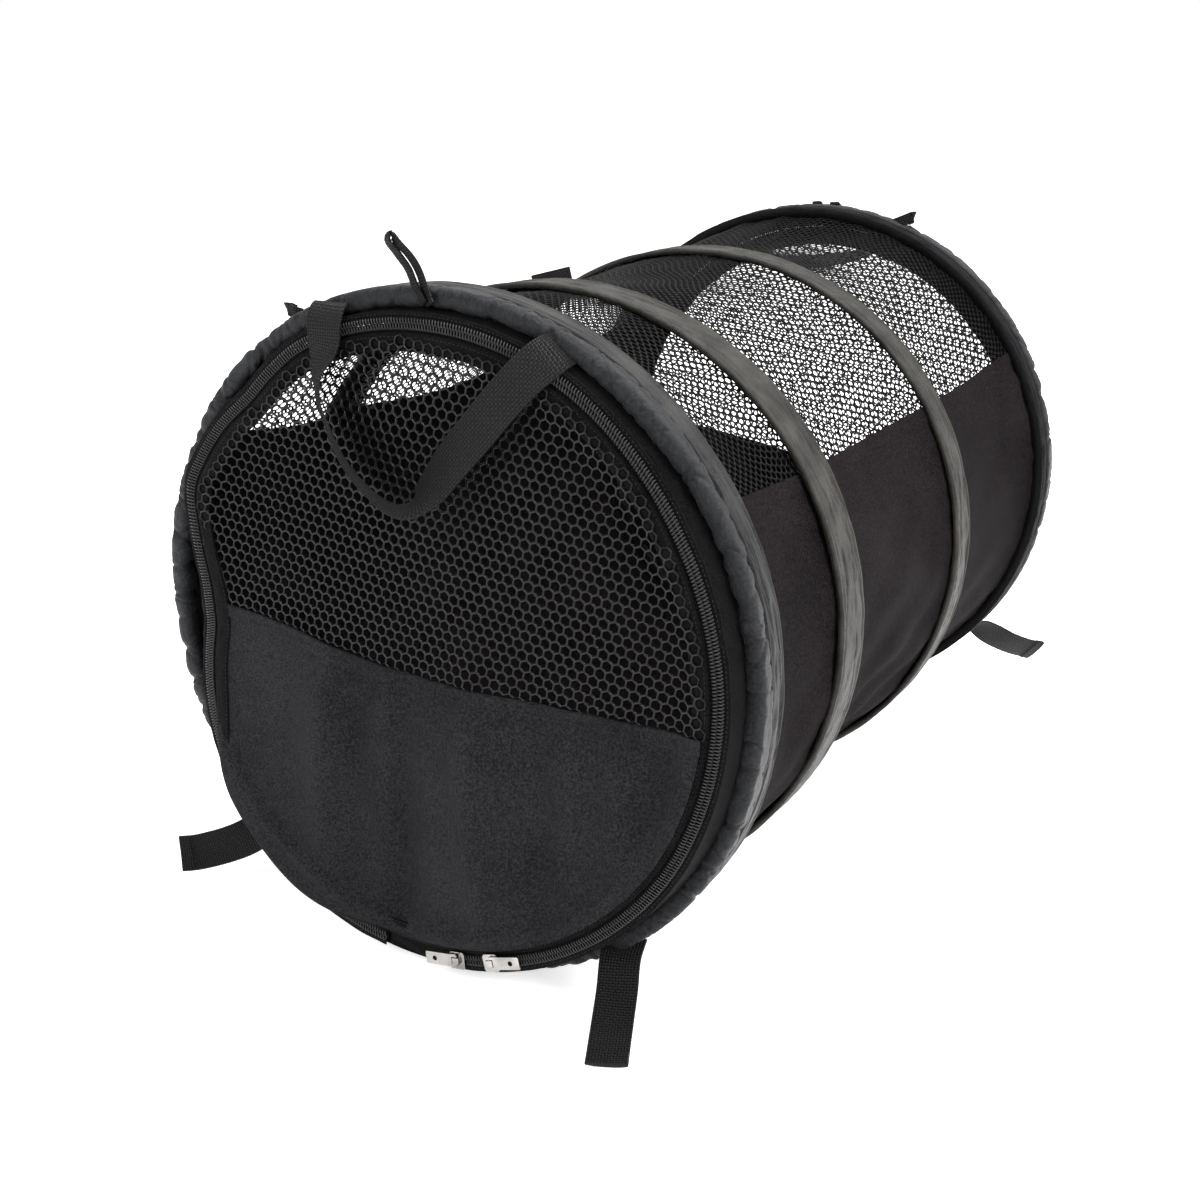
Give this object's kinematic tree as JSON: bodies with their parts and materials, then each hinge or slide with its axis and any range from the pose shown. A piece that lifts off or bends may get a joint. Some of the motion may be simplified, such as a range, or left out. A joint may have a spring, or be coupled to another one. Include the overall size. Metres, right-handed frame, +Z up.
{
  "type": "collapsible pet travel tunnel",
  "caption": "Collapsible fabric pet tunnel: net-topped cloth tube on spring-wire hoops, with zipped mesh doors, webbing handles and floor straps at both ends.",
  "frame": {"origin": "on the floor under the middle of the tube: centre of the underside of the bounding box", "axes": "+Z up, +Y along the tube from the front end to the rear end, +X to the right seen from the front"},
  "size_m": [0.432, 0.7209, 0.4603],
  "materials": {
    "spring_steel": "bright drawn wire",
    "slider_metal": "nickel-plated die casting",
    "zip_coil": "black nylon coil",
    "zip_tape": "woven polyester zip tape",
    "grey_binding": "satin bias tape, double stitched",
    "rim_nylon": "gathered nylon",
    "black_net": "hexagonal polyester net",
    "black_webbing": "basket-weave polypropylene webbing",
    "black_oxford": "coated oxford cloth"
  },
  "bodies": {
    "front_frame": {"front_hoop_wire": "spring_steel", "front_rim_tape": "grey_binding", "front_rim_roll": "rim_nylon", "front_end_panel": "black_oxford", "front_zip_outer_tape": "zip_tape", "front_zip_outer_coil": "zip_coil", "front_door_hinge_tape": "zip_tape", "front_handle_anchors": "black_webbing", "front_top_loop": "black_webbing", "front_side_tab": "black_webbing", "bay_1_net": "black_net", "bay_1_cloth": "black_oxford"},
    "hoop_2": {"hoop_2_wire": "spring_steel", "hoop_2_binding": "grey_binding", "bay_2_net": "black_net", "bay_2_cloth": "black_oxford"},
    "hoop_3": {"hoop_3_wire": "spring_steel", "hoop_3_binding": "grey_binding", "hoop_3_side_tab": "black_webbing", "bay_3_net": "black_net", "bay_3_cloth": "black_oxford"},
    "rear_frame": {"rear_hoop_wire": "spring_steel", "rear_rim_tape": "grey_binding", "rear_rim_roll": "rim_nylon", "rear_end_panel": "black_oxford", "rear_zip_outer_tape": "zip_tape", "rear_zip_outer_coil": "zip_coil", "rear_door_hinge_tape": "zip_tape", "rear_handle_anchors": "black_webbing", "rear_top_loop": "black_webbing", "rear_side_tab": "black_webbing"},
    "front_door": {"front_door_window": "black_net", "front_door_panel": "black_oxford", "front_door_border": "black_oxford", "front_zip_inner_tape": "zip_tape", "front_zip_inner_coil": "zip_coil", "front_parked_slider": "slider_metal"},
    "front_slider": {"front_zip_slider": "slider_metal"},
    "front_pull": {"front_zip_pull": "slider_metal"},
    "front_second_pull": {"front_parked_pull": "slider_metal"},
    "front_handle_loop": {"front_handle": "black_webbing"},
    "rear_door": {"rear_door_window": "black_net", "rear_door_panel": "black_oxford", "rear_door_border": "black_oxford", "rear_zip_inner_tape": "zip_tape", "rear_zip_inner_coil": "zip_coil", "rear_parked_slider": "slider_metal"},
    "rear_slider": {"rear_zip_slider": "slider_metal"},
    "rear_pull": {"rear_zip_pull": "slider_metal"},
    "rear_second_pull": {"rear_parked_pull": "slider_metal"},
    "rear_handle_loop": {"rear_handle": "black_webbing"},
    "front_left_strap_tail": {"front_left_strap": "black_webbing"},
    "front_right_strap_tail": {"front_right_strap": "black_webbing"},
    "rear_right_strap_tail": {"rear_right_strap": "black_webbing"},
    "rear_left_strap_tail": {"rear_left_strap": "black_webbing"}
  },
  "joints": [
    {"name": "collapse", "type": "slide", "parent": "front_frame", "child": "hoop_2", "axis": [0, -1, 0], "range_m": [0, 0.093], "deforming": ["bay_1_net", "bay_1_cloth"]},
    {"name": "collapse_hoop_3", "type": "slide", "parent": "hoop_2", "child": "hoop_3", "axis": [0, -1, 0], "range_m": [0, 0.182], "deforming": ["bay_2_net", "bay_2_cloth"]},
    {"name": "collapse_rear", "type": "slide", "parent": "hoop_3", "child": "rear_frame", "axis": [0, -1, 0], "range_m": [0, 0.176], "deforming": ["bay_3_net", "bay_3_cloth"]},
    {"name": "front_door_open", "type": "hinge", "parent": "front_frame", "child": "front_door", "pos_m": [0, -0.32714, 0.00618], "axis": [1, 0, 0], "range_deg": [0, 90], "deforming": ["front_handle"]},
    {"name": "front_zip_travel", "type": "hinge", "parent": "front_door", "child": "front_slider", "pos_m": [0, -0.31, 0.207], "axis": [0, -0.998, 0.0628], "range_deg": [0, 333]},
    {"name": "front_pull_flip", "type": "hinge", "parent": "front_slider", "child": "front_pull", "pos_m": [0.05347, -0.3268, 0.0212], "axis": [0.2756, -0.0604, -0.9594], "range_deg": [0, 150]},
    {"name": "front_second_pull_flip", "type": "hinge", "parent": "front_door", "child": "front_second_pull", "pos_m": [0.02867, -0.32714, 0.01583], "axis": [-0.1478, 0.0621, 0.9871], "range_deg": [0, 150]},
    {"name": "front_handle_swing", "type": "hinge", "parent": "front_frame", "child": "front_handle_loop", "pos_m": [0, -0.2967, 0.3983], "axis": [-1, 0, 0], "range_deg": [0, 165]},
    {"name": "rear_door_open", "type": "hinge", "parent": "rear_frame", "child": "rear_door", "pos_m": [0, 0.32714, 0.00618], "axis": [-1, 0, 0], "range_deg": [0, 90], "deforming": ["rear_handle"]},
    {"name": "rear_zip_travel", "type": "hinge", "parent": "rear_door", "child": "rear_slider", "pos_m": [0, 0.31, 0.207], "axis": [0, -0.998, -0.0628], "range_deg": [0, 333]},
    {"name": "rear_pull_flip", "type": "hinge", "parent": "rear_slider", "child": "rear_pull", "pos_m": [0.05347, 0.3268, 0.0212], "axis": [-0.2756, -0.0604, 0.9594], "range_deg": [0, 150]},
    {"name": "rear_second_pull_flip", "type": "hinge", "parent": "rear_door", "child": "rear_second_pull", "pos_m": [0.02867, 0.32714, 0.01583], "axis": [0.1478, 0.0621, -0.9871], "range_deg": [0, 150]},
    {"name": "rear_handle_swing", "type": "hinge", "parent": "rear_frame", "child": "rear_handle_loop", "pos_m": [0, 0.2967, 0.3825], "axis": [1, 0, 0], "range_deg": [0, 75]},
    {"name": "front_left_strap_lift", "type": "hinge", "parent": "front_frame", "child": "front_left_strap_tail", "pos_m": [-0.15, -0.283, 0.048], "axis": [-0.374, 0.9274, 0], "range_deg": [0, 18]},
    {"name": "front_right_strap_lift", "type": "hinge", "parent": "front_frame", "child": "front_right_strap_tail", "pos_m": [0.139, -0.3, 0.032], "axis": [-0.9912, -0.1322, 0], "range_deg": [0, 40]},
    {"name": "rear_right_strap_lift", "type": "hinge", "parent": "rear_frame", "child": "rear_right_strap_tail", "pos_m": [0.15, 0.297, 0.054], "axis": [0.7206, -0.6934, 0], "range_deg": [0, 42]},
    {"name": "rear_left_strap_lift", "type": "hinge", "parent": "rear_frame", "child": "rear_left_strap_tail", "pos_m": [-0.15, 0.297, 0.054], "axis": [0.7206, 0.6934, 0], "range_deg": [0, 42]}
  ],
  "couplings": [
    {"joint": "collapse_hoop_3", "follows": "collapse", "ratio": 1.957},
    {"joint": "collapse_rear", "follows": "collapse", "ratio": 1.8925}
  ]
}
